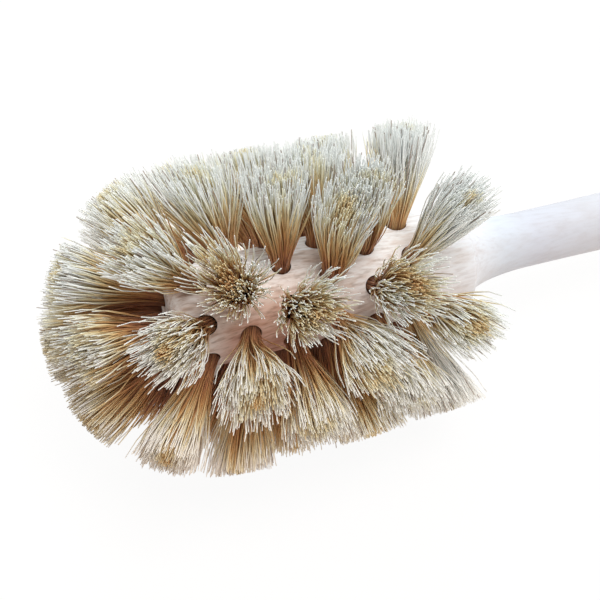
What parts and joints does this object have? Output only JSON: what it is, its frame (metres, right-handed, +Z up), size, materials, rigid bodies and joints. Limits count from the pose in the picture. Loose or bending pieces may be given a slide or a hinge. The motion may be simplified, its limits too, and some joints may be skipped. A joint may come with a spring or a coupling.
{
  "type": "bottle brush",
  "caption": "Round bottle brush: head and handle turned from one piece of beech, with flared tufts of natural bristle in drilled holes all round the head and nose.",
  "frame": {"origin": "middle of the outer box, on the surface that the brush lies on", "axes": "+X along the brush toward the handle's end, which lies lower than the head; +Z up"},
  "size_m": [0.381, 0.0812, 0.0854],
  "materials": {
    "beech": "bare turned beech, fine sanded",
    "bristle": "natural bristle, brown at the root and cream at the tip"
  },
  "bodies": {
    "root": {"brush_body": "beech", "ring_1_tuft_1": "bristle", "ring_1_tuft_2": "bristle", "ring_1_tuft_3": "bristle", "ring_1_tuft_4": "bristle", "ring_1_tuft_5": "bristle", "ring_1_tuft_6": "bristle", "ring_1_tuft_7": "bristle", "ring_1_tuft_8": "bristle", "ring_2_tuft_1": "bristle", "ring_2_tuft_2": "bristle", "ring_2_tuft_3": "bristle", "ring_2_tuft_4": "bristle", "ring_2_tuft_5": "bristle", "ring_2_tuft_6": "bristle", "ring_2_tuft_7": "bristle", "ring_2_tuft_8": "bristle", "ring_3_tuft_1": "bristle", "ring_3_tuft_2": "bristle", "ring_3_tuft_3": "bristle", "ring_3_tuft_4": "bristle", "ring_3_tuft_5": "bristle", "ring_3_tuft_6": "bristle", "ring_3_tuft_7": "bristle", "ring_3_tuft_8": "bristle", "ring_4_tuft_1": "bristle", "ring_4_tuft_2": "bristle", "ring_4_tuft_3": "bristle", "ring_4_tuft_4": "bristle", "ring_4_tuft_5": "bristle", "ring_4_tuft_6": "bristle", "ring_4_tuft_7": "bristle", "ring_4_tuft_8": "bristle", "ring_5_tuft_1": "bristle", "ring_5_tuft_2": "bristle", "ring_5_tuft_3": "bristle", "ring_5_tuft_4": "bristle", "ring_5_tuft_5": "bristle", "ring_5_tuft_6": "bristle", "ring_5_tuft_7": "bristle", "ring_5_tuft_8": "bristle", "ring_6_tuft_1": "bristle", "ring_6_tuft_2": "bristle", "ring_6_tuft_3": "bristle", "ring_6_tuft_4": "bristle", "ring_6_tuft_5": "bristle", "ring_6_tuft_6": "bristle", "ring_6_tuft_7": "bristle", "ring_6_tuft_8": "bristle", "nose_tuft_1": "bristle", "nose_tuft_2": "bristle", "nose_tuft_3": "bristle", "nose_tuft_4": "bristle", "nose_tuft_5": "bristle", "nose_tuft_centre": "bristle"}
  },
  "joints": []
}
